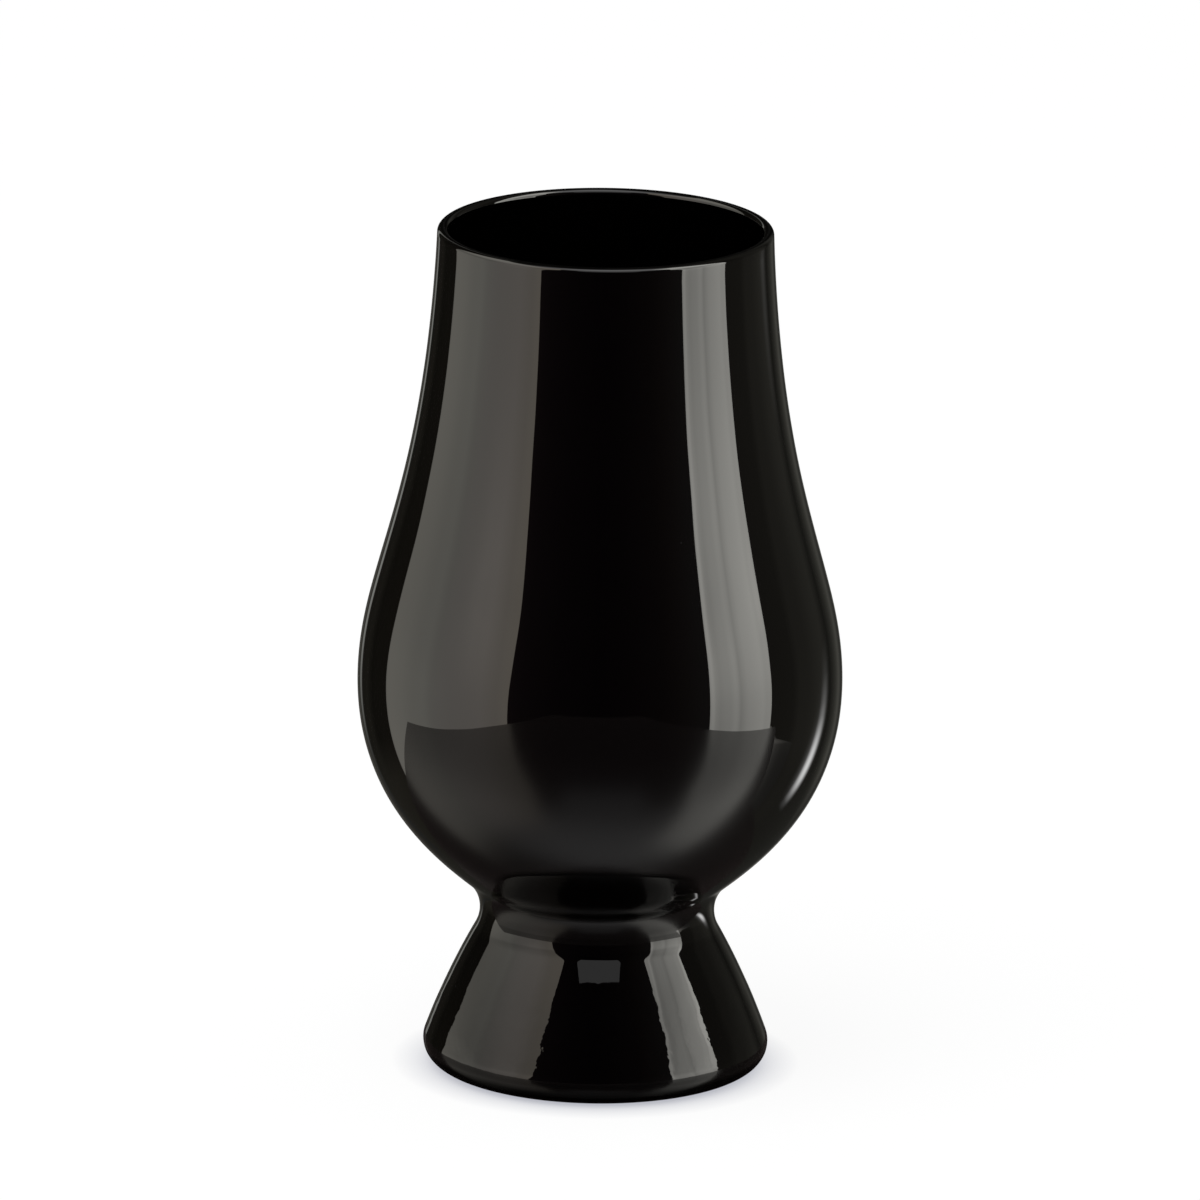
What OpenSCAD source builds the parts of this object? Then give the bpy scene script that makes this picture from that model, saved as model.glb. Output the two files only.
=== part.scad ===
// Whisky nosing glass: a blown tulip bowl fused hot to a pressed, solid foot.
// The glass is a body of revolution about Z and stands on the plane Z = 0.
// An outward slope is the angle, in degrees, by which a surface faces up (above zero) or down (below zero).

/* [Overall] */
// Height from the table to the crest of the rim
glass_h = 115; // [100:0.5:130]

/* [Bowl] */
// Outside diameter at the rim
rim_d = 44.7; // [40:0.1:50]
// Thickness of the wall at the rim, whose lip is fully rounded
rim_wall = 1.5; // [1:0.1:2.5]
// Lean of the wall towards the axis at the rim, in degrees
rim_lean = 2.4; // [0:0.2:5]
// Outside diameter at the widest point
belly_d = 64.7; // [58:0.1:72]
// Height of the widest point above the table
belly_h = 53; // [48:0.1:58]
// Thickness of the wall at the widest point
belly_wall = 1.8; // [1.2:0.1:3]
// Thickness of glass between the inside's lowest point and the weld at the neck
bowl_floor = 5.4; // [4:0.1:8]

/* [Neck] */
// Outside diameter at the narrowest point, where the bowl is fused to the foot
neck_d = 31.4; // [26:0.1:36]
// Height of the narrowest point above the table
neck_h = 21.2; // [19:0.1:24]
// Radius of the hollow curve that runs round the neck
neck_curve = 5.7; // [3:0.1:7]
// Angle by which the underside of the bowl faces down where it leaves the neck
bowl_slope = 51; // [40:1:60]
// Angle by which the side of the foot faces up where it leaves the neck
shoulder_slope = 29; // [20:1:35]

/* [Foot] */
// Outside diameter of the side of the foot at the top of the heel
foot_d = 46.2; // [40:0.2:54]
// Radius of the rounded heel
heel_r = 3; // [1.5:0.1:4]
// Angle by which the side of the foot faces up at the heel
heel_slope = 19; // [10:1:25]
// Diameter of the hollow under the foot, inside the ring that it stands on
punt_d = 33; // [26:0.5:36]
// Depth of the hollow under the foot
punt_depth = 1.6; // [0.8:0.1:3]

/* [Hidden] */

// Facets round the axis, and along each kind of curve of the outline
round_steps = 180;
long_curve_steps = 44;
short_curve_steps = 26;
arc_steps = 12;

// Lengths of the curves' end tangents, as shares of the height that each curve climbs
flare_tangent_share = 1 / 3;
underside_low_share = 0.26;
underside_high_share = 0.55;
wall_low_share = 0.25;
wall_high_share = 0.62;
inside_high_share = 0.56;
// Length of the inside's tangent at its lowest point, as a share of the inside radius at the belly
inside_low_share = 0.48;

rim_r = rim_d / 2;
lip_r = rim_wall / 2;
belly_r = belly_d / 2;
neck_r = neck_d / 2;
heel_centre_r = foot_d / 2 - heel_r;
inside_h = neck_h + bowl_floor;
inside_belly_r = belly_r - belly_wall;
neck_centre = [neck_r + neck_curve, neck_h];
lip_centre = [rim_r - lip_r, glass_h - lip_r];

black_glass = [0.045, 0.043, 0.042];

// Direction in which a surface faces, and direction in which it climbs, for an outward slope
function facing(slope) = [cos(slope), sin(slope)];
function climbing(slope) = [-sin(slope), cos(slope)];

// Points on an arc about a centre, without its last point; a negative radius gives a hollow curve
function arc(centre, radius, from, to) =
    [for (i = [0 : arc_steps - 1]) centre + radius * facing(from + (to - from) * i / arc_steps)];

function cubic(a, b, c, d, t) =
    pow(1 - t, 3) * a + 3 * pow(1 - t, 2) * t * b + 3 * (1 - t) * pow(t, 2) * c + pow(t, 3) * d;

// Points on a smooth curve that climbs from one place to another, without its last point
function climb(low, low_slope, low_share, high, high_slope, high_share, steps) =
    let (
        rise = high.y - low.y,
        low_tangent = low + low_share * rise * climbing(low_slope),
        high_tangent = high - high_share * rise * climbing(high_slope)
    )
    [for (i = [0 : steps - 1]) cubic(low, low_tangent, high_tangent, high, i / steps)];

function reversed(points) = [for (i = [len(points) - 1 : -1 : 0]) points[i]];

// Place on the neck's hollow curve that has an outward slope
function neck_place(slope) = neck_centre - neck_curve * facing(slope);

// Outside of the bowl, from the weld up to the lip
function bowl_outside() = concat(
    arc(neck_centre, -neck_curve, 0, -bowl_slope),
    climb(neck_place(-bowl_slope), -bowl_slope, underside_low_share,
          [belly_r, belly_h], 0, underside_high_share, short_curve_steps),
    climb([belly_r, belly_h], 0, wall_low_share,
          lip_centre + lip_r * facing(rim_lean), rim_lean, wall_high_share, long_curve_steps)
);

// Inside of the bowl, from its lowest point up to the lip
function bowl_inside() = concat(
    [for (i = [0 : short_curve_steps - 1])
        cubic([0, inside_h],
              [inside_low_share * inside_belly_r, inside_h],
              [inside_belly_r, belly_h - inside_high_share * (belly_h - inside_h)],
              [inside_belly_r, belly_h],
              i / short_curve_steps)],
    climb([inside_belly_r, belly_h], 0, wall_low_share,
          lip_centre - lip_r * facing(rim_lean), rim_lean, wall_high_share, long_curve_steps)
);

// Side of the foot, from the ring that it stands on up to the weld
function foot_outside() = concat(
    arc([heel_centre_r, heel_r], heel_r, -90, heel_slope),
    climb([heel_centre_r, heel_r] + heel_r * facing(heel_slope), heel_slope, flare_tangent_share,
          neck_place(shoulder_slope), shoulder_slope, flare_tangent_share, short_curve_steps),
    arc(neck_centre, -neck_curve, shoulder_slope, 0)
);

// Hollow under the foot: part of a large ball, from its crown out to the ring
function punt() =
    let (
        punt_r = punt_d / 2,
        ball_r = (pow(punt_r, 2) + pow(punt_depth, 2)) / (2 * punt_depth),
        spread = asin(punt_r / ball_r)
    )
    [for (i = [0 : arc_steps]) [0, punt_depth - ball_r] + ball_r * facing(90 - spread * i / arc_steps)];

module bowl() {
    color(black_glass)
        rotate_extrude($fn = round_steps)
            polygon(concat(
                [[0, neck_h]],
                bowl_outside(),
                arc(lip_centre, lip_r, rim_lean, rim_lean + 180),
                [lip_centre - lip_r * facing(rim_lean)],
                reversed(bowl_inside())
            ));
}

module foot() {
    color(black_glass)
        rotate_extrude($fn = round_steps)
            polygon(concat(
                punt(),
                foot_outside(),
                [[neck_r, neck_h], [0, neck_h]]
            ));
}

bowl();
foot();
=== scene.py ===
# Looks of a black whisky nosing glass: a blown tulip bowl fused to a pressed foot, in a plain white studio.
# Metres and degrees. An outward slope is the angle by which a surface faces up (above zero) or down.
import math

import bpy
from mathutils import Matrix, Vector, noise


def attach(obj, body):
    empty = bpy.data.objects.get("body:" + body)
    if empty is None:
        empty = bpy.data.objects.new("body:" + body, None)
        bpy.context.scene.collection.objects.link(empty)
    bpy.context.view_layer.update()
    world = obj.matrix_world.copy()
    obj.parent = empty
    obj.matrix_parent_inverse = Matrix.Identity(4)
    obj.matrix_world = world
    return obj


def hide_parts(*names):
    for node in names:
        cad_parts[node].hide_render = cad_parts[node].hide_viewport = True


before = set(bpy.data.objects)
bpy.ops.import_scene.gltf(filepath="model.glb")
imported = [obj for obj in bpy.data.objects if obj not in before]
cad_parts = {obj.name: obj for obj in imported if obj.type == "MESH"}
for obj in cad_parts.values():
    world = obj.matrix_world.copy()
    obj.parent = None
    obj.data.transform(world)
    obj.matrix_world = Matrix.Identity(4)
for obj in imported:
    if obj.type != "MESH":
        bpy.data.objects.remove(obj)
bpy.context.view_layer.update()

# Sizes of the glass, the same as in the part's source
GLASS_H = 0.115
RIM_R = 0.02235
LIP_R = 0.00075
RIM_LEAN = 2.4
BELLY_R = 0.03235
BELLY_H = 0.053
BELLY_WALL = 0.0018
BOWL_FLOOR = 0.0054
NECK_R = 0.0157
NECK_H = 0.0212
NECK_CURVE = 0.0057
BOWL_SLOPE = 51
SHOULDER_SLOPE = 29
FOOT_R = 0.0231
HEEL_R = 0.003
HEEL_SLOPE = 19
PUNT_R = 0.0165
PUNT_DEPTH = 0.0016

# Lengths of the curves' end tangents, as shares of the height that each curve climbs. The last one is
# at the inside's lowest point, as a share of the inside radius at the belly.
FLARE_SHARE = 1 / 3
UNDERSIDE_LOW_SHARE = 0.26
UNDERSIDE_HIGH_SHARE = 0.55
WALL_LOW_SHARE = 0.25
WALL_HIGH_SHARE = 0.62
INSIDE_HIGH_SHARE = 0.56
INSIDE_LOW_SHARE = 0.48

# Centres of the rounded stretches, as (radius, height), and where the inside is widest and lowest
NECK_CENTRE = Vector((NECK_R + NECK_CURVE, NECK_H))
LIP_CENTRE = Vector((RIM_R - LIP_R, GLASS_H - LIP_R))
HEEL_CENTRE = Vector((FOOT_R - HEEL_R, HEEL_R))
INSIDE_R = BELLY_R - BELLY_WALL
INSIDE_H = NECK_H + BOWL_FLOOR

# Fineness of the meshes: faces round the axis, and rings along each curve
ROUND_STEPS = 384
WALL_STEPS = 84
INSIDE_WALL_STEPS = WALL_STEPS // 2
UNDERSIDE_STEPS = 48
NECK_STEPS = 28
LIP_STEPS = 24
INSIDE_STEPS = 30
FLARE_STEPS = 64
HEEL_STEPS = 24
PUNT_STEPS = 16

# Radius below which a ring is one point on the axis, and angle above which an edge is sharp
ON_AXIS_R = 1e-7
SHARP_ANGLE = 35

# Waves in the surface: half the greatest depth, and the length of each kind. They only go inwards.
BLOWN_DEPTH = 0.00001
BLOWN_LENGTH = 0.008
PRESSED_DEPTH = 0.00002
PRESSED_LENGTH = 0.0026
PRESSED_FINE_SHARE = 0.25
PRESSED_FINE_LENGTH = 0.0011
INSIDE_DEPTH = 0.00002
INSIDE_LENGTH = 0.01

# Heights between which the foot's waves pass into the bowl's, and between which all waves end at the lip
WAVES_MEET_LOW = 0.010
WAVES_MEET_HIGH = 0.016
WAVES_END_LOW = GLASS_H - 4 * LIP_R
WAVES_END_HIGH = GLASS_H - LIP_R


def facing(slope):
    """Direction in which a surface faces, as (outwards, up)."""
    return Vector((math.cos(math.radians(slope)), math.sin(math.radians(slope))))


def climbing(slope):
    """Direction in which a surface climbs, as (outwards, up)."""
    return Vector((-math.sin(math.radians(slope)), math.cos(math.radians(slope))))


# Spacings of an arc's points, each from the share of their count to the share of the way along
def evenly(share):
    return share


def finer_first(share):
    return share * share


def finer_last(share):
    return 1 - (1 - share) ** 2


def arc(centre, radius, start, end, steps, spacing=evenly):
    """Points on an arc, without its last point; a negative radius gives a hollow curve."""
    return [centre + radius * facing(start + (end - start) * spacing(i / steps)) for i in range(steps)]


def cubic(a, b, c, d, t):
    return (1 - t) ** 3 * a + 3 * (1 - t) ** 2 * t * b + 3 * (1 - t) * t ** 2 * c + t ** 3 * d


def climb(low, low_slope, low_share, high, high_slope, high_share, steps):
    """Points on a smooth curve that climbs from one place to another, without its last point."""
    rise = high.y - low.y
    low_tangent = low + low_share * rise * climbing(low_slope)
    high_tangent = high - high_share * rise * climbing(high_slope)
    return [cubic(low, low_tangent, high_tangent, high, i / steps) for i in range(steps)]


def neck_place(slope):
    """Place on the neck's hollow curve that has an outward slope."""
    return NECK_CENTRE - NECK_CURVE * facing(slope)


def bowl_outside():
    """Outside of the bowl, from the weld up and over the lip."""
    belly = Vector((BELLY_R, BELLY_H))
    wall_top = LIP_CENTRE + LIP_R * facing(RIM_LEAN)
    return (
        arc(NECK_CENTRE, -NECK_CURVE, 0, -BOWL_SLOPE, NECK_STEPS, finer_first)
        + climb(neck_place(-BOWL_SLOPE), -BOWL_SLOPE, UNDERSIDE_LOW_SHARE,
                belly, 0, UNDERSIDE_HIGH_SHARE, UNDERSIDE_STEPS)
        + climb(belly, 0, WALL_LOW_SHARE, wall_top, RIM_LEAN, WALL_HIGH_SHARE, WALL_STEPS)
        + arc(LIP_CENTRE, LIP_R, RIM_LEAN, RIM_LEAN + 180, LIP_STEPS)
    )


def bowl_inside():
    """Inside of the bowl, from the lip down to the lowest point on the axis."""
    belly = Vector((INSIDE_R, BELLY_H))
    lowest = Vector((0, INSIDE_H))
    lip = LIP_CENTRE - LIP_R * facing(RIM_LEAN)
    low_tangent = Vector((INSIDE_LOW_SHARE * INSIDE_R, INSIDE_H))
    belly_tangent = Vector((INSIDE_R, BELLY_H - INSIDE_HIGH_SHARE * (BELLY_H - INSIDE_H)))
    bottom = [cubic(lowest, low_tangent, belly_tangent, belly, i / INSIDE_STEPS) for i in range(INSIDE_STEPS)]
    wall = climb(belly, 0, WALL_LOW_SHARE, lip, RIM_LEAN, WALL_HIGH_SHARE, INSIDE_WALL_STEPS)
    return list(reversed(bottom + wall + [lip]))


def foot_outside():
    """Side of the foot, from the ring that it stands on up to the weld."""
    heel_top = HEEL_CENTRE + HEEL_R * facing(HEEL_SLOPE)
    return (
        arc(HEEL_CENTRE, HEEL_R, -90, HEEL_SLOPE, HEEL_STEPS)
        + climb(heel_top, HEEL_SLOPE, FLARE_SHARE,
                neck_place(SHOULDER_SLOPE), SHOULDER_SLOPE, FLARE_SHARE, FLARE_STEPS)
        + arc(NECK_CENTRE, -NECK_CURVE, SHOULDER_SLOPE, 0, NECK_STEPS, finer_last)
        + [Vector((NECK_R, NECK_H))]
    )


def punt():
    """Hollow under the foot: part of a large ball, from its crown out to the ring."""
    ball_r = (PUNT_R ** 2 + PUNT_DEPTH ** 2) / (2 * PUNT_DEPTH)
    spread = math.degrees(math.asin(PUNT_R / ball_r))
    ball_centre = Vector((0, PUNT_DEPTH - ball_r))
    return [ball_centre + ball_r * facing(90 - spread * i / PUNT_STEPS) for i in range(PUNT_STEPS + 1)]


def smooth_step(low, high, x):
    share = min(max((x - low) / (high - low), 0), 1)
    return share * share * (3 - 2 * share)


def waves(place, length, depth):
    """Depth, never below zero, of soft waves at a place."""
    return depth * max(0, 1 + noise.noise(place / length))


def below_lip(place):
    return 1 - smooth_step(WAVES_END_LOW, WAVES_END_HIGH, place.z)


def outside_waves(place):
    """Short waves on the pressed foot, which pass into the long waves of the blown bowl."""
    blown = waves(place, BLOWN_LENGTH, BLOWN_DEPTH)
    pressed = waves(place, PRESSED_LENGTH, PRESSED_DEPTH)
    pressed += waves(place, PRESSED_FINE_LENGTH, PRESSED_DEPTH * PRESSED_FINE_SHARE)
    share = smooth_step(WAVES_MEET_LOW, WAVES_MEET_HIGH, place.z)
    above_heel = smooth_step(0, HEEL_R, place.z)
    return (pressed + (blown - pressed) * share) * above_heel * below_lip(place)


def inside_waves(place):
    return waves(place, INSIDE_LENGTH, INSIDE_DEPTH) * below_lip(place)


def still(place):
    return 0


def normals(points):
    """Directions in which an outline faces, for glass on the left of its way along."""
    found = []
    for i in range(len(points)):
        along = points[min(i + 1, len(points) - 1)] - points[max(i - 1, 0)]
        found.append(Vector((along.y, -along.x)).normalized())
    return found


def ring(point, normal, depth):
    """Places round the axis for a point of an outline, moved inwards by the depth of the waves there."""
    places = []
    for step in range(ROUND_STEPS):
        turn = 2 * math.pi * step / ROUND_STEPS
        out = Vector((math.cos(turn), math.sin(turn), 0))
        place = out * point.x + Vector((0, 0, point.y))
        place -= (out * normal.x + Vector((0, 0, normal.y))) * depth(place)
        places.append(place)
    return places


def faces_between(low, high):
    """Faces from one ring to the next, of which either can be a single point on the axis."""
    faces = []
    for step in range(ROUND_STEPS):
        after = (step + 1) % ROUND_STEPS
        if len(low) == 1:
            faces.append((low[0], high[after], high[step]))
        elif len(high) == 1:
            faces.append((low[step], low[after], high[0]))
        else:
            faces.append((low[step], low[after], high[after], high[step]))
    return faces


def place_object(name, data):
    """New object in the scene, with its mesh, camera or light."""
    made = bpy.data.objects.new(name, data)
    bpy.context.scene.collection.objects.link(made)
    return made


def lathe(name, strips, material):
    """Closed mesh turned from strips of outline, each (points, depth of its waves at a place).
    Strips share no points, and the outline starts and ends on the axis."""
    verts = []
    rings = []
    for points, depth in strips:
        for point, normal in zip(points, normals(points)):
            places = [(0, 0, point.y)] if point.x < ON_AXIS_R else ring(point, normal, depth)
            rings.append(range(len(verts), len(verts) + len(places)))
            verts += places
    faces = []
    for low, high in zip(rings, rings[1:]):
        faces += faces_between(low, high)
    mesh = bpy.data.meshes.new(name)
    mesh.from_pydata(verts, [], faces)
    mesh.validate()
    mesh.shade_smooth()
    mesh.set_sharp_from_angle(angle=math.radians(SHARP_ANGLE))
    mesh.materials.append(material)
    return place_object(name, mesh)


def new_material(name):
    """Empty node material, and its node tree."""
    material = bpy.data.materials.new(name)
    material.use_nodes = True
    material.node_tree.nodes.clear()
    return material, material.node_tree


def node(tree, kind, inputs=(), **settings):
    """New node with settings and inputs; an input is a value or another node's socket."""
    made = tree.nodes.new("ShaderNode" + kind)
    for key, value in settings.items():
        setattr(made, key, value)
    for key, value in dict(inputs).items():
        if isinstance(value, bpy.types.NodeSocket):
            tree.links.new(value, made.inputs[key])
        else:
            made.inputs[key].default_value = value
    return made


def maths(tree, operation, first, second):
    """Result of an operation on two values or sockets."""
    return node(tree, "Math", {0: first, 1: second}, operation=operation).outputs[0]


def ranged(tree, value, source, target):
    """Value carried over from a source range to a target range, and held at the target's ends."""
    made = node(tree, "MapRange", {"Value": value, "From Min": source[0], "From Max": source[1],
                                   "To Min": target[0], "To Max": target[1]})
    return made.outputs["Result"]


def mixed(tree, share, first, second):
    """Colour that passes from the first to the second as the share rises."""
    return node(tree, "Mix", {"Factor": share, "A": first, "B": second}, data_type="RGBA").outputs["Result"]


WHITE = (1, 1, 1, 1)

# Skin of the glass: where smears start and are full in their noise, and the roughness and the colour
# of clean and of smeared glass
SMEAR_RANGE = (0.4, 0.75)
ROUGHNESS_RANGE = (0.012, 0.035)
CLEAN_COLOUR = (0.00015, 0.0001, 0.00012, 1)
SMEARED_COLOUR = (0.0005, 0.0004, 0.00042, 1)
GLASS_IOR = 1.52

# Dust: the size of the cells that hold a speck or none, the radius of a speck, the share of cells
# that hold one, and its colour
DUST_SPACING = 0.006
DUST_R = 0.00012
DUST_SHARE = 0.3
DUST_COLOUR = (0.03, 0.03, 0.032, 1)


def black_glass(name, smear_size, ripple_size, low_ripple, high_ripple, mirroring):
    """Opaque black glass with a fire-polished skin: faint smears in its gloss, a very fine unevenness
    whose depth passes from low_ripple to high_ripple where the waves meet, and a few specks of dust.
    Mirroring is the shader's specular level."""
    material, tree = new_material(name)
    place = node(tree, "TexCoord").outputs["Object"]
    smears = node(tree, "TexNoise", {"Vector": place, "Scale": 1 / smear_size, "Detail": 3.0,
                                     "Roughness": 0.55}).outputs["Fac"]
    gloss = ranged(tree, smears, SMEAR_RANGE, ROUGHNESS_RANGE)
    depth = node(tree, "ValToRGB", {"Fac": smears})
    depth.color_ramp.elements[0].color = CLEAN_COLOUR
    depth.color_ramp.elements[1].color = SMEARED_COLOUR
    cells = node(tree, "TexVoronoi", {"Vector": place, "Scale": 1 / DUST_SPACING, "Randomness": 1.0})
    near = ranged(tree, cells.outputs["Distance"], (0.0, DUST_R / DUST_SPACING), (1.0, 0.0))
    drawn = node(tree, "SeparateColor", {"Color": cells.outputs["Color"]}).outputs[0]
    dust = maths(tree, "MULTIPLY", near, maths(tree, "GREATER_THAN", drawn, 1 - DUST_SHARE))
    ripples = node(tree, "TexNoise", {"Vector": place, "Scale": 1 / ripple_size, "Detail": 1.0})
    height = node(tree, "SeparateXYZ", {"Vector": place}).outputs["Z"]
    ripple = ranged(tree, height, (WAVES_MEET_LOW, WAVES_MEET_HIGH), (low_ripple, high_ripple))
    bump = node(tree, "Bump", {"Height": ripples.outputs["Fac"], "Strength": 1.0, "Distance": ripple})
    glass = node(tree, "BsdfPrincipled", {
        "Base Color": mixed(tree, dust, depth.outputs["Color"], DUST_COLOUR),
        "Roughness": gloss,
        "IOR": GLASS_IOR,
        "Specular IOR Level": mirroring,
        "Normal": bump.outputs["Normal"],
    })
    node(tree, "OutputMaterial", {"Surface": glass.outputs["BSDF"]})
    return material


blown_glass = black_glass("blown_glass", smear_size=0.012, ripple_size=0.006,
                          low_ripple=0.000002, high_ripple=0.000002, mirroring=0.5)
pressed_glass = black_glass("pressed_glass", smear_size=0.008, ripple_size=0.0008,
                            low_ripple=0.0000065, high_ripple=0.000001, mirroring=0.38)

# Bowl and foot, which meet on a flat face at the weld
weld = [Vector((0, NECK_H)), Vector((NECK_R / 2, NECK_H))]
bowl = lathe("blown_bowl", [
    (weld, still),
    (bowl_outside(), outside_waves),
    (bowl_inside(), inside_waves),
], blown_glass)
foot = lathe("pressed_foot", [
    (punt(), still),
    (foot_outside(), outside_waves),
    (list(reversed(weld)), still),
], pressed_glass)
for piece, part, finish in ((bowl, "bowl", "blown_glass"), (foot, "foot", "pressed_glass")):
    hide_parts(part)
    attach(piece, "root")

# Camera: a long lens, 2.4 m in front of the glass and 0.7 m up
CAMERA_PLACE = (0, -2.4009, 0.72277)
CAMERA_PITCH = 15.347
CAMERA_ROLL = 0.745
LENS_MM = 560.75
SENSOR_MM = 36
PICTURE_PX = 1200
LEFT_OF_CENTRE_PX = 1.0

camera_data = bpy.data.cameras.new("camera")
camera_data.lens = LENS_MM
camera_data.sensor_width = SENSOR_MM
camera_data.shift_x = -LEFT_OF_CENTRE_PX / PICTURE_PX
camera_data.clip_start = 0.1
camera_data.clip_end = 60
camera = place_object("camera", camera_data)
camera.matrix_world = (
    Matrix.Translation(CAMERA_PLACE)
    @ Matrix.Rotation(math.radians(90 - CAMERA_PITCH), 4, "X")
    @ Matrix.Rotation(math.radians(CAMERA_ROLL), 4, "Z")
)
bpy.context.scene.camera = camera

# World: white to camera, glossy and transmission rays, and a plain level of light on surfaces
WORLD_LIGHT = 0.7


def background_ray(tree):
    """1 for camera, glossy and transmission rays, and 0 for the others."""
    rays = node(tree, "LightPath").outputs
    shown = maths(tree, "MAXIMUM", rays["Is Camera Ray"], rays["Is Glossy Ray"])
    return maths(tree, "MAXIMUM", shown, rays["Is Transmission Ray"])


world = bpy.data.worlds.new("studio")
bpy.context.scene.world = world
world.use_nodes = True
world_tree = world.node_tree
world_tree.nodes.clear()
world_level = ranged(world_tree, background_ray(world_tree), (0.0, 1.0), (WORLD_LIGHT, 1.0))
white = node(world_tree, "Background", {"Color": WHITE, "Strength": world_level})
node(world_tree, "OutputWorld", {"Surface": white.outputs["Background"]})

# Floor: pale and plain, with the soft shadow where the foot meets it, and see-through from below
FLOOR_R = 5
FLOOR_STEPS = 96
FLOOR_H = -0.0001
FLOOR_GLOW = 0.9
FLOOR_CATCH = (0.11, 0.11, 0.11, 1)
FLOOR_BOUNCE = (0.8, 0.8, 0.8, 1)
SHADOW_REACH = 0.005
SHADOW_SAMPLES = 8
SHADOW_TINT = (0.5, 0.51, 0.57, 1)


def white_floor():
    """The camera sees a glow that is dimmer close to the foot, and a little of the light that falls on
    the floor. Light bounces from the floor as from plain pale paper."""
    material, tree = new_material("white_floor")
    contact = node(tree, "AmbientOcclusion", {"Distance": SHADOW_REACH}, samples=SHADOW_SAMPLES)
    shade = mixed(tree, contact.outputs["AO"], SHADOW_TINT, WHITE)
    glow = node(tree, "Emission", {"Color": shade, "Strength": FLOOR_GLOW})
    catcher = node(tree, "BsdfDiffuse", {"Color": FLOOR_CATCH})
    lit = node(tree, "AddShader", {0: glow.outputs[0], 1: catcher.outputs[0]})
    plain = node(tree, "BsdfDiffuse", {"Color": FLOOR_BOUNCE})
    above = node(tree, "MixShader", {0: background_ray(tree), 1: plain.outputs[0], 2: lit.outputs[0]})
    from_below = node(tree, "NewGeometry").outputs["Backfacing"]
    clear = node(tree, "BsdfTransparent")
    seen = node(tree, "MixShader", {0: from_below, 1: above.outputs[0], 2: clear.outputs[0]})
    node(tree, "OutputMaterial", {"Surface": seen.outputs[0]})
    return material


def level_face(name, corners, material):
    """One face at the floor's height that faces up, from its corners, each (x, y)."""
    mesh = bpy.data.meshes.new(name)
    mesh.from_pydata([(x, y, FLOOR_H) for x, y in corners], [], [tuple(range(len(corners)))])
    mesh.materials.append(material)
    return place_object(name, mesh)


floor_turns = [2 * math.pi * step / FLOOR_STEPS for step in range(FLOOR_STEPS)]
floor_edge = [(FLOOR_R * math.cos(turn), FLOOR_R * math.sin(turn)) for turn in floor_turns]
floor = level_face("floor", floor_edge, white_floor())
floor.visible_glossy = False

# Studio that the glass mirrors: a large ball round it, on which each light is a patch. Patches lie in
# layers, one in front of another.
ROOM_R = 3
ROOM_CENTRE = Vector((0, 0, 0.06))
LAYER = 0.1

# Greatest height and width of a patch's faces, as angles
ROW_STEP = 2.0
COLUMN_STEP = 1.0
FINE_COLUMN_STEP = 0.5


def studio_light():
    """Light of the colour that a mesh holds at each of its points."""
    material, tree = new_material("studio_light")
    colour = node(tree, "Attribute", attribute_name="glow").outputs["Color"]
    glow = node(tree, "Emission", {"Color": colour, "Strength": 1.0})
    node(tree, "OutputMaterial", {"Surface": glow.outputs[0]})
    material.cycles.emission_sampling = "NONE"
    return material


light_material = studio_light()


def between(stops, x):
    """Value at x on straight lines between stops, each (place, value)."""
    if x <= stops[0][0]:
        return stops[0][1]
    for (low, at_low), (high, at_high) in zip(stops, stops[1:]):
        if x <= high:
            return at_low + (at_high - at_low) * (x - low) / (high - low)
    return stops[-1][1]


def blended(stops, x):
    """Colour at x, on straight lines between stops, each (place, colour)."""
    return [between([(place, colour[part]) for place, colour in stops], x) for part in range(3)]


def tinted(brightness, tint):
    return [brightness * part for part in tint]


def steps_between(low, high, step):
    """Even steps from low to high, none longer than the step."""
    count = max(1, math.ceil((high - low) / step))
    return [low + (high - low) * i / count for i in range(count + 1)]


def seen_in_glass_only(made):
    made.visible_camera = False
    made.visible_diffuse = False
    made.visible_transmission = False
    made.visible_volume_scatter = False
    made.visible_shadow = False


def way_to(azimuth, elevation):
    """Direction from the glass. Azimuth 0 is in front of it and 90 on its right."""
    turn = math.radians(azimuth)
    rise = math.radians(elevation)
    return Vector((math.sin(turn) * math.cos(rise), -math.cos(turn) * math.cos(rise), math.sin(rise)))


def glowing_mesh(name, verts, faces, colours):
    mesh = bpy.data.meshes.new(name)
    mesh.from_pydata(verts, [], faces)
    mesh.attributes.new("glow", "FLOAT_COLOR", "POINT").data.foreach_set("color", colours)
    mesh.materials.append(light_material)
    seen_in_glass_only(place_object(name, mesh))


def studio_patch(name, edges, elevations, light, radius=ROOM_R, column_step=COLUMN_STEP):
    """Glowing patch of the ball. Each of its two side edges is stops (elevation, azimuth), so that it
    can lean. Light gives the red, green and blue at an azimuth and elevation."""
    rows = steps_between(*elevations, ROW_STEP)
    widest = max(between(edges[1], row) - between(edges[0], row) for row in rows)
    shares = steps_between(0, 1, column_step / widest)
    verts = []
    colours = []
    for elevation in rows:
        first, last = (between(edge, elevation) for edge in edges)
        for share in shares:
            azimuth = first + (last - first) * share
            verts.append(ROOM_CENTRE + radius * way_to(azimuth, elevation))
            colours += [*light(azimuth, elevation), 1]
    width = len(shares)
    faces = [(row * width + i, row * width + i + 1, (row + 1) * width + i + 1, (row + 1) * width + i)
             for row in range(len(rows) - 1) for i in range(width - 1)]
    glowing_mesh(name, verts, faces, colours)


def upright(azimuths):
    """Side edges that don't lean."""
    return [[(0, azimuth)] for azimuth in azimuths]


def panel(name, corners, radius, colour):
    """Glowing panel of one colour with its corners on a ball, each (azimuth, elevation)."""
    verts = [ROOM_CENTRE + radius * way_to(*corner) for corner in corners]
    glowing_mesh(name, verts, [tuple(range(len(verts)))], [*colour, 1] * len(verts))


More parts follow.
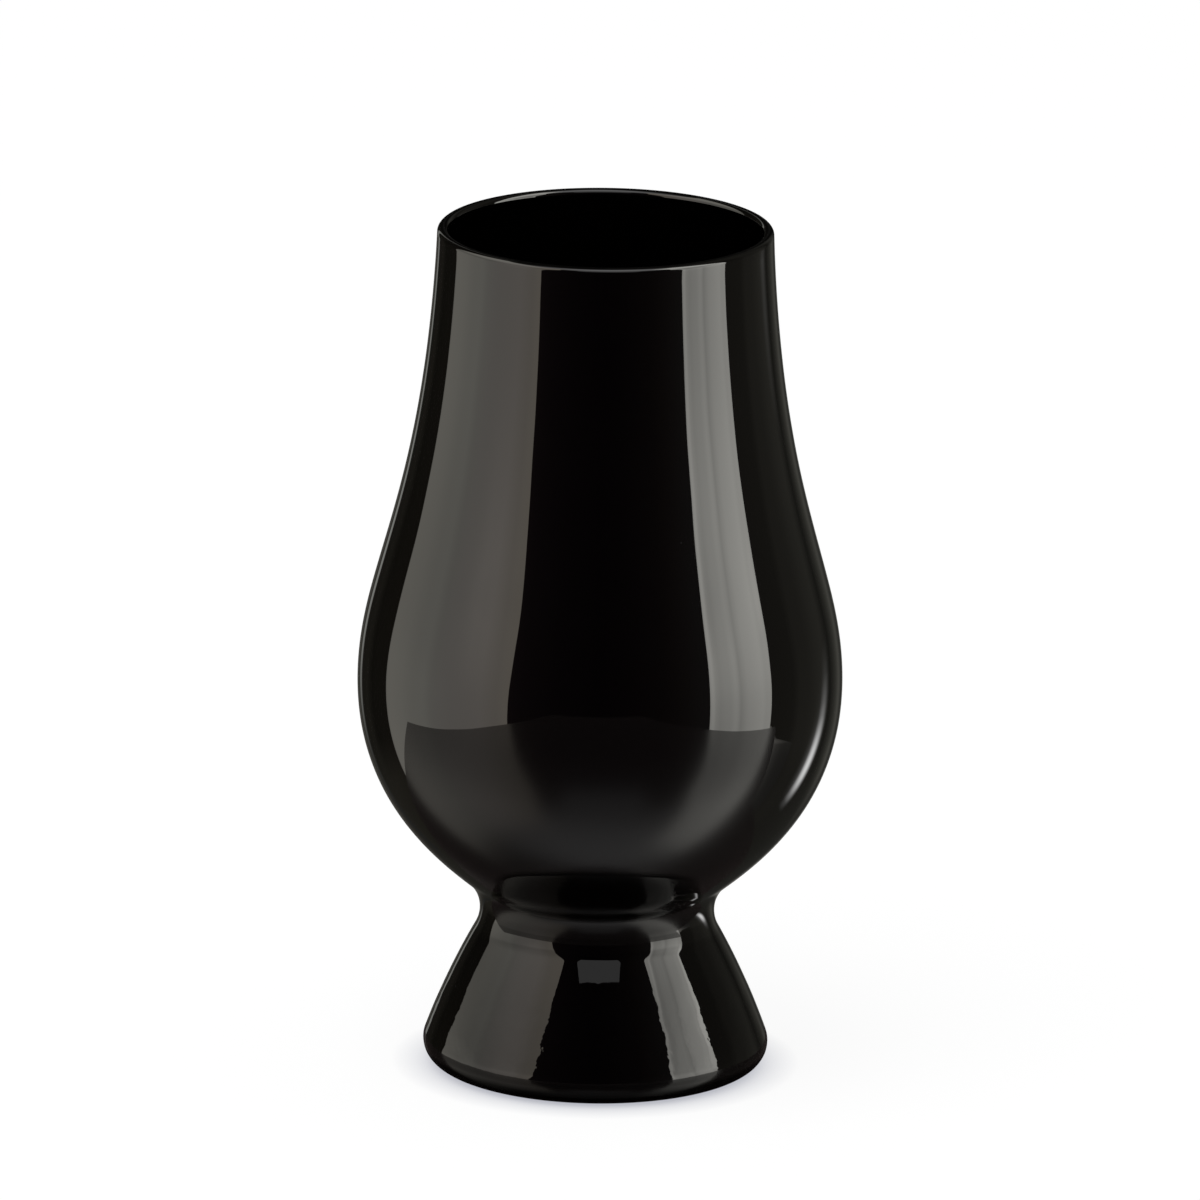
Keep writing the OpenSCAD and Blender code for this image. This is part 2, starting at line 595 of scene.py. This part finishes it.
# Walls: bright by azimuth, with levels of their own below the table, and dark behind the glass except
# low down
ROOM_AZIMUTHS = (-180, 180)
ROOM_ELEVATIONS = (-90, 90)
ROOM_BY_AZIMUTH = [
    (-180, 0.1), (-166, 0.08), (-153, 0.025), (-145, 0.038), (-138, 0.025), (-123, 0.045), (-42, 0.06),
    (-36, 0.044), (-20, 0.026), (0, 0.016), (12, 0.022), (30, 0.04), (50, 0.088), (91, 0.11), (104, 0.1),
    (109, 0.132), (117, 0.117), (126, 0.122), (133, 0.112), (141, 0.04), (150, 0.09), (157, 0.14),
    (164, 0.045), (168, 0.045), (174, 0.18), (180, 0.25),
]
ROOM_TINTS = [
    (-180, (1, 0.98, 0.9)), (-150, (1, 0.93, 0.74)), (-122, (1, 0.88, 0.68)), (-40, (1, 0.68, 0.74)),
    (0, (1, 0.6, 0.78)), (35, (1, 0.75, 0.7)), (50, (1, 0.9, 0.86)), (95, (1, 0.93, 0.78)),
    (150, (1, 0.98, 0.84)), (180, (1, 0.99, 0.92)),
]
ROOM_BELOW_BY_AZIMUTH = [
    (-180, 0.03), (-160, 0.045), (-150, 0.05), (-135, 0.07), (-118, 0.09), (-60, 0.1), (100, 0.1),
    (112, 0.11), (124, 0.08), (135, 0.065), (150, 0.05), (165, 0.04), (180, 0.03),
]
ROOM_BELOW_SHARE = [(-30, 1), (-22, 0)]
BEHIND_BY_ELEVATION = [(-10, 1), (-2, 0.1)]
BEHIND_SHARE = [(150, 0), (168, 1)]

# Ceiling: bright by elevation, by azimuth, and by its angle from the front horizon over the top
CEILING_BY_ELEVATION = [(43, 0.0), (46, 0.2), (50, 0.8), (56, 1.3), (62, 1.75), (70, 2.05), (90, 2.2)]
CEILING_BY_AZIMUTH = [
    (-180, 0.3), (-105, 0.12), (-85, 0.35), (-60, 0.75), (-35, 1), (75, 1), (95, 0.6), (110, 0.3),
]
CEILING_BY_TILT = [(84, 1), (100, 0.05)]

# Band in which walls and softboxes are dimmer, by azimuth to either side of the front
DIM_FROM_BY_AZIMUTH = [(0, 15.5), (50, 13), (90, 8), (120, 2.5), (160, -6), (180, -11)]
DIM_TO_BY_AZIMUTH = [(0, 48), (50, 42), (90, 31), (120, 21), (160, 3), (180, -2)]
DIM_FADE = 4
DIM_LEVEL_BY_AZIMUTH = [(0, 0.82), (100, 0.83), (140, 0.88), (180, 0.97)]


def spread(factors, angle, shares, other_angle):
    """Factor at one angle, which passes into 1 as its share at the other angle falls to 0."""
    return 1 + (between(factors, angle) - 1) * between(shares, other_angle)


def dimming(azimuth, elevation):
    """Share of its light that the studio keeps at a place. The band in which it is dimmer is high up in
    front of the glass and comes down towards the back."""
    aside = abs(azimuth)
    low = between(DIM_FROM_BY_AZIMUTH, aside)
    high = between(DIM_TO_BY_AZIMUTH, aside)
    inside = [(low, 0), (low + DIM_FADE, 1), (high - DIM_FADE, 1), (high, 0)]
    return spread(DIM_LEVEL_BY_AZIMUTH, aside, inside, elevation)


def room(azimuth, elevation):
    """Walls, and a ceiling that is lit from the front to just past overhead."""
    below = between(ROOM_BELOW_SHARE, elevation)
    walls = between(ROOM_BY_AZIMUTH, azimuth) * (1 - below) + between(ROOM_BELOW_BY_AZIMUTH, azimuth) * below
    walls *= dimming(azimuth, elevation)
    walls *= spread(BEHIND_BY_ELEVATION, elevation, BEHIND_SHARE, abs(azimuth))
    way = way_to(azimuth, elevation)
    tilt = math.degrees(math.atan2(way.z, -way.y)) if way.z > 0 else 0
    ceiling = between(CEILING_BY_ELEVATION, elevation) * between(CEILING_BY_AZIMUTH, azimuth)
    ceiling *= between(CEILING_BY_TILT, tilt)
    return [part + ceiling for part in tinted(walls, blended(ROOM_TINTS, azimuth))]


# Left softbox, bright by azimuth and by elevation. Higher up its light is spread another way.
LEFT_ELEVATIONS = (-35, 56)
LEFT_EDGES = (
    [(-12, -121.5), (0, -120.8), (12, -120.4)],
    [(-10, -43.8), (0, -43.3), (10, -42.4), (16, -41.3), (22, -40.8), (27, -38.8), (33, -36.4),
     (38, -33.9), (41, -35), (43, -36.2), (50, -38)],
)
LEFT_BY_AZIMUTH = [
    (-121.5, 0.9), (-120, 1.08), (-115.5, 1.2), (-108, 1.36), (-99, 1.45), (-91.5, 1.59), (-86, 1.5),
    (-75, 1.55), (-66, 1.64), (-58, 1.73), (-49.5, 1.64), (-46, 1.75), (-42.3, 1.8),
]
LEFT_BY_ELEVATION = [
    (-16, 0.93), (0, 1), (10, 1.06), (18, 1.08), (26, 1.2), (34, 1.38), (42, 1.45), (50, 1.55), (56, 1.6),
]
LEFT_MIDDLE_BY_AZIMUTH = [(-85, 0.88), (-72, 1.02), (-66, 1.1), (-58, 1.08), (-50, 1), (-44, 0.95)]
LEFT_MIDDLE_SHARE = [(-5, 0), (10, 1)]
LEFT_HIGH_BY_AZIMUTH = [
    (-102, 1.3), (-94, 1.22), (-82, 1.22), (-74, 1.14), (-66, 0.98), (-58, 0.95), (-50, 0.98), (-46, 0.92),
]
LEFT_HIGH_SHARE = [(12, 0), (26, 1)]
LEFT_TINTS = [
    (-120, (1, 0.96, 0.85)), (-90, (1, 0.97, 0.87)), (-80, (1, 0.94, 0.86)), (-58, (1, 0.915, 0.83)),
    (-44, (1, 0.9, 0.77)),
]


def left_light(azimuth, elevation):
    level = between(LEFT_BY_AZIMUTH, azimuth) * between(LEFT_BY_ELEVATION, elevation)
    level *= spread(LEFT_MIDDLE_BY_AZIMUTH, azimuth, LEFT_MIDDLE_SHARE, elevation)
    level *= spread(LEFT_HIGH_BY_AZIMUTH, azimuth, LEFT_HIGH_SHARE, elevation)
    return tinted(level * dimming(azimuth, elevation), blended(LEFT_TINTS, azimuth))


# Right softbox, which is narrower, brighter and more uneven
RIGHT_ELEVATIONS = (-35, 65)
RIGHT_EDGES = (
    [(-10, 53.1), (12, 53.4), (18, 53.8), (26, 53.3), (31, 51.6), (37, 49.6), (43, 53), (50, 54)],
    [(-10, 88.6), (0, 88.7), (6, 89.4), (16, 89.3), (24, 87.8), (40, 87), (65, 88)],
)
RIGHT_BY_AZIMUTH = [
    (53, 4.2), (54.8, 5), (56.3, 4.1), (58.5, 3.75), (61, 3.95), (64, 4.05), (66.8, 4.5), (68.2, 4.3),
    (69.8, 3.6), (71.5, 4), (74, 4.45), (79.5, 4.7), (83, 4.85), (85.5, 4.45), (87.5, 4.5), (89, 4.2),
]
RIGHT_BY_ELEVATION = [
    (-14, 0.8), (-6, 0.88), (0, 0.99), (10, 1.1), (18, 1.15), (26, 1.05), (34, 1.25), (42, 1.35),
    (50, 1.45), (65, 1.5),
]
RIGHT_HIGH_BY_AZIMUTH = [
    (55, 0.95), (57, 0.78), (60, 0.86), (63, 0.9), (66, 0.85), (67.5, 0.8), (69.5, 0.9), (71, 1), (80, 1),
    (82, 1.06), (84.8, 1.12), (86, 1.5), (88.8, 1.7),
]
RIGHT_HIGH_SHARE = [(6, 0), (16, 1), (40, 1), (46, 0)]
RIGHT_TINT = (1, 0.985, 0.92)


def right_light(azimuth, elevation):
    level = between(RIGHT_BY_AZIMUTH, azimuth) * between(RIGHT_BY_ELEVATION, elevation)
    level *= spread(RIGHT_HIGH_BY_AZIMUTH, azimuth, RIGHT_HIGH_SHARE, elevation)
    return tinted(level * dimming(azimuth, elevation), RIGHT_TINT)


# Pale strips: a narrow one behind the glass on its left, and a low one that starts under the right
# softbox and reaches past it
GAP_AZIMUTHS = (-160.5, -156)
GAP_ELEVATIONS = (-35, 50)
GAP_BY_ELEVATION = [
    (-30, 0.04), (-23, 0.06), (-20, 0.1), (-18, 0.19), (-16, 0.27), (-13, 0.36), (-9, 0.47), (50, 0.47),
]
GAP_TINT = (1, 1, 0.93)
# The low strip is a painted reflection: it glows in place of the right softbox's blurred reflection in the
# table beyond the board
SIDE_ELEVATIONS = (-60, -15.5)
SIDE_EDGES = ([(-60, 64)], [(-20.5, 107), (-20, 94.7), (-17.5, 92), (-15.5, 89.4)])
SIDE_BY_AZIMUTH = [(88, 1.1), (90, 0.85), (93, 0.42), (96, 0.25), (99, 0.165), (102, 0.135), (107, 0.115)]
SIDE_BY_ELEVATION = [(-60, 1.1), (-45, 1.05), (-30, 1), (-25, 1.1), (-21, 1.45), (-18, 1.3)]
SIDE_TINT = (1, 0.96, 0.88)


def pale_gap(azimuth, elevation):
    return tinted(between(GAP_BY_ELEVATION, elevation), GAP_TINT)


# Painted reflection of the right softbox in the table, brightest beside the softbox's edge
def painted_softbox_reflection(azimuth, elevation):
    return tinted(between(SIDE_BY_AZIMUTH, azimuth) * between(SIDE_BY_ELEVATION, elevation), SIDE_TINT)


# Panel high up in front of the glass
PANEL_CORNERS = [(-15.5, 36.1), (2.5, 36.5), (22, 35.9), (27.6, 41), (28.3, 48), (-22, 48), (-21.6, 41)]
PANEL_COLOUR = (0.74, 0.74, 0.74)

# Small lamp low behind the glass, on its right, bright by elevation and by the angle from its middle,
# which leans
LAMP_ELEVATIONS = (-37, -7)
LAMP_MIDDLE = [(-37, 128.7), (-7, 134.7)]
LAMP_REACHES = (-10, 6)
LAMP_EDGES = [[(elevation, middle + reach) for elevation, middle in LAMP_MIDDLE] for reach in LAMP_REACHES]
LAMP_BY_ELEVATION = [
    (-37, 0), (-35, 0.3), (-33, 1.3), (-30, 3.4), (-28, 4.2), (-25, 4), (-23, 3.5), (-20, 2.3), (-18, 1.25),
    (-17, 0.94), (-15, 0.53), (-13, 0.3), (-11.5, 0.13), (-9, 0.05), (-7, 0),
]
LAMP_ACROSS = [
    (-10, 0), (-7.5, 0.02), (-5.5, 0.06), (-4.2, 0.13), (-2.4, 0.6), (-0.3, 1), (1.5, 0.87), (2.7, 0.55),
    (4.2, 0.17), (5.4, 0.03), (6, 0),
]


def lamp(azimuth, elevation):
    """The lamp's light on top of the wall's, so that the patch has no edge of its own."""
    level = between(LAMP_ACROSS, azimuth - between(LAMP_MIDDLE, elevation))
    level *= between(LAMP_BY_ELEVATION, elevation)
    return [part + level for part in room(azimuth, elevation)]


studio_patch("room", upright(ROOM_AZIMUTHS), ROOM_ELEVATIONS, room, ROOM_R + 3 * LAYER)
studio_patch("left_softbox", LEFT_EDGES, LEFT_ELEVATIONS, left_light)
studio_patch("right_softbox", RIGHT_EDGES, RIGHT_ELEVATIONS, right_light, ROOM_R, FINE_COLUMN_STEP)
studio_patch("pale_gap", upright(GAP_AZIMUTHS), GAP_ELEVATIONS, pale_gap)
studio_patch("painted_softbox_reflection", SIDE_EDGES, SIDE_ELEVATIONS, painted_softbox_reflection, ROOM_R + LAYER)
panel("front_panel", PANEL_CORNERS, ROOM_R - 3 * LAYER, PANEL_COLOUR)
studio_patch("small_lamp", LAMP_EDGES, LAMP_ELEVATIONS, lamp, ROOM_R - LAYER)

# Board that the glass stands on in its reflections: dark and polished, with a faint glow of painted light,
# and painted shade close to the foot. Its light grows from the shaded share to full over one stretch of
# radius, and from the near share to full over another.
BOARD_CORNERS = [
    (-0.245, -0.613), (0.214, -0.613), (0.207, -0.012), (0.07, -0.016), (0.035, 0.02), (-0.19, 0.023),
]
BOARD_SHEEN_FACING = 0.2
BOARD_SHEEN_GRAZING = 0.35
BOARD_ROUGHNESS = 0.26
# Painted light: the board glows by itself in place of the lamp light that falls on it and comes back
BOARD_PAINTED_LIGHT = (0.034, 0.024, 0.024, 1)
SHADED_R = 0.0235
LIT_R = 0.0262
SHADED_SHARE = 0.2
NEAR_R = 0.03
FAR_R = 0.07
NEAR_SHARE = 0.8


def dark_board():
    """A blurred polish, stronger where it is seen at a grazing angle, and a faint glow of painted light."""
    material, tree = new_material("dark_board")
    place = node(tree, "TexCoord").outputs["Object"]
    away = node(tree, "VectorMath", {0: place}, operation="LENGTH").outputs["Value"]
    past_shade = ranged(tree, away, (SHADED_R, LIT_R), (SHADED_SHARE, 1.0))
    past_near = ranged(tree, away, (NEAR_R, FAR_R), (NEAR_SHARE, 1.0))
    lit_share = maths(tree, "MULTIPLY", past_shade, past_near)
    grazing = node(tree, "LayerWeight", {"Blend": 0.5}).outputs["Facing"]
    sheen = ranged(tree, grazing, (0.0, 1.0), (BOARD_SHEEN_FACING, BOARD_SHEEN_GRAZING))
    polish = node(tree, "BsdfAnisotropic", {
        "Color": maths(tree, "MULTIPLY", sheen, lit_share),
        "Roughness": BOARD_ROUGHNESS,
    })
    glow = node(tree, "Emission", {"Color": BOARD_PAINTED_LIGHT, "Strength": lit_share})
    both = node(tree, "AddShader", {0: polish.outputs[0], 1: glow.outputs[0]})
    node(tree, "OutputMaterial", {"Surface": both.outputs[0]})
    material.cycles.emission_sampling = "NONE"
    return material


seen_in_glass_only(level_face("board", BOARD_CORNERS, dark_board()))

# Soft lamp overhead, which lights surfaces and isn't mirrored
OVERHEAD_PLACE = Vector((-0.4, -0.5, 1.6))
OVERHEAD_SIZE = 1.2
OVERHEAD_POWER = 12

overhead_data = bpy.data.lights.new("overhead", "AREA")
overhead_data.shape = "DISK"
overhead_data.size = OVERHEAD_SIZE
overhead_data.energy = OVERHEAD_POWER
overhead = place_object("overhead", overhead_data)
overhead.location = OVERHEAD_PLACE
overhead.rotation_euler = (-OVERHEAD_PLACE).to_track_quat("-Z", "Y").to_euler()
overhead.visible_glossy = False

bpy.context.scene.view_settings.view_transform = "Standard"
